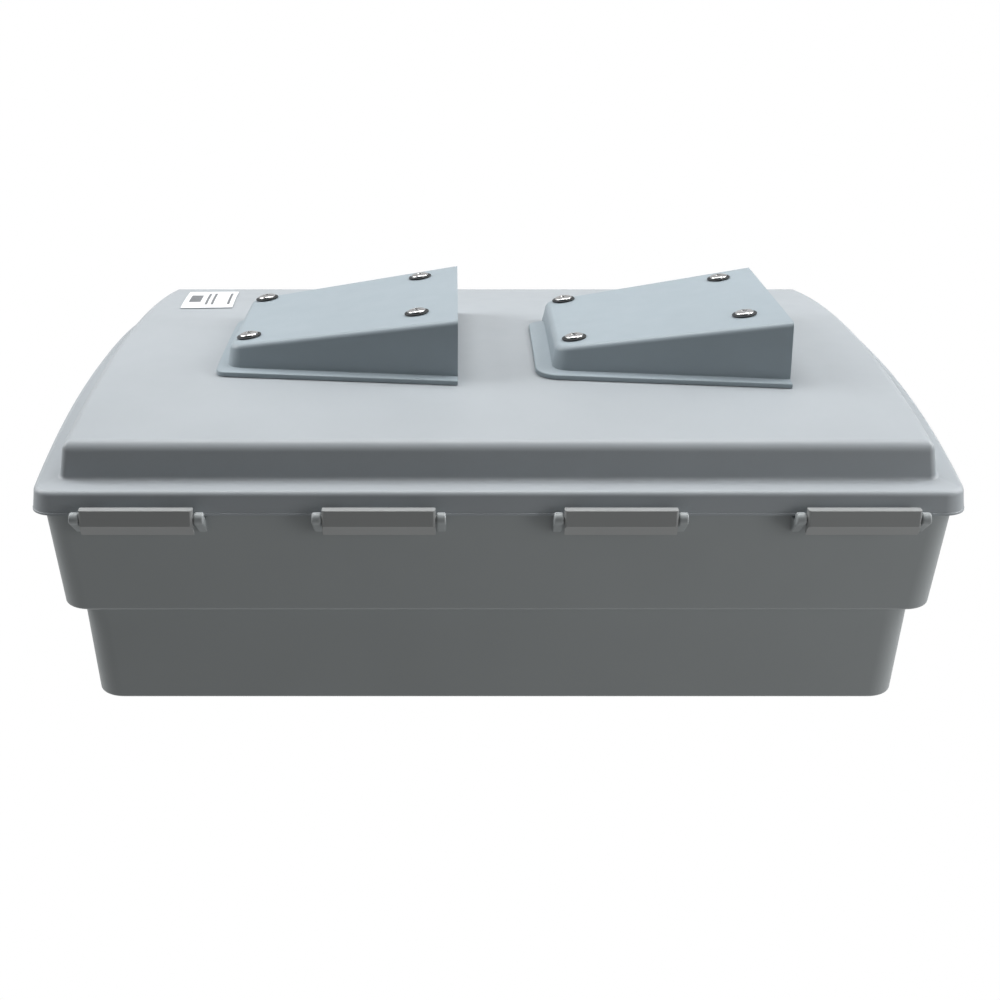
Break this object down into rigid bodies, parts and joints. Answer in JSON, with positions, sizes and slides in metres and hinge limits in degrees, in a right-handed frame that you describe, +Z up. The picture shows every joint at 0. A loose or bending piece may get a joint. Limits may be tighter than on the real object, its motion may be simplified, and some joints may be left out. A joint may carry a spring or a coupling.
{
  "type": "bait station",
  "caption": "Two-tier grey plastic bait box with a hinged arched lid, front snap latches and sloping screwed-on entry hoods; trays and bait rods inside.",
  "frame": {"origin": "centre of the box's footprint, on the flat underside of the tub", "axes": "+X along the length towards the hoods' open ends, -Y towards the latches, +Z up"},
  "size_m": [0.4344, 0.355, 0.1728],
  "materials": {
    "tub_grey": "satin, fine moulded grain",
    "lid_grey": "satin, fine moulded grain",
    "hood_grey": "satin",
    "latch_grey": "satin",
    "steel": "bright zinc plate",
    "black_rubber": "matt",
    "tray_black": "satin",
    "label_white": "satin printed film"
  },
  "bodies": {
    "base": {"base_tub": "tub_grey", "rim_seal": "black_rubber", "hinge_pin_left": "steel", "climb_panel_left": "tray_black", "hinge_pin_right": "steel", "climb_panel_right": "tray_black", "bait_tray_1": "tray_black", "bait_rod_1_front": "steel", "bait_rod_1_back": "steel", "bait_tray_2": "tray_black", "bait_rod_2_front": "steel", "bait_rod_2_back": "steel"},
    "lid": {"lid": "lid_grey", "label": "label_white", "hood_left": "hood_grey", "rail_left_front": "tray_black", "rail_left_back": "tray_black", "screw_left_1": "steel", "washer_left_1": "black_rubber", "screw_left_2": "steel", "washer_left_2": "black_rubber", "screw_left_3": "steel", "washer_left_3": "black_rubber", "screw_left_4": "steel", "washer_left_4": "black_rubber", "hood_right": "hood_grey", "rail_right_front": "tray_black", "rail_right_back": "tray_black", "screw_right_1": "steel", "washer_right_1": "black_rubber", "screw_right_2": "steel", "washer_right_2": "black_rubber", "screw_right_3": "steel", "washer_right_3": "black_rubber", "screw_right_4": "steel", "washer_right_4": "black_rubber"},
    "latch_1_body": {"latch_1": "latch_grey"},
    "latch_2_body": {"latch_2": "latch_grey"},
    "latch_3_body": {"latch_3": "latch_grey"},
    "latch_4_body": {"latch_4": "latch_grey"}
  },
  "joints": [
    {"name": "lid_hinge", "type": "hinge", "parent": "base", "child": "lid", "pos_m": [0, 0.1743, 0.103], "axis": [-1, 0, 0], "range_deg": [0, 105]},
    {"name": "latch_1_hinge", "type": "hinge", "parent": "base", "child": "latch_1_body", "pos_m": [-0.16575, -0.1742, 0.1042], "axis": [1, 0, 0], "range_deg": [0, 70]},
    {"name": "latch_2_hinge", "type": "hinge", "parent": "base", "child": "latch_2_body", "pos_m": [-0.05505, -0.1742, 0.1042], "axis": [1, 0, 0], "range_deg": [0, 70]},
    {"name": "latch_3_hinge", "type": "hinge", "parent": "base", "child": "latch_3_body", "pos_m": [0.05565, -0.1742, 0.1042], "axis": [1, 0, 0], "range_deg": [0, 70]},
    {"name": "latch_4_hinge", "type": "hinge", "parent": "base", "child": "latch_4_body", "pos_m": [0.16635, -0.1742, 0.1042], "axis": [1, 0, 0], "range_deg": [0, 70]}
  ]
}
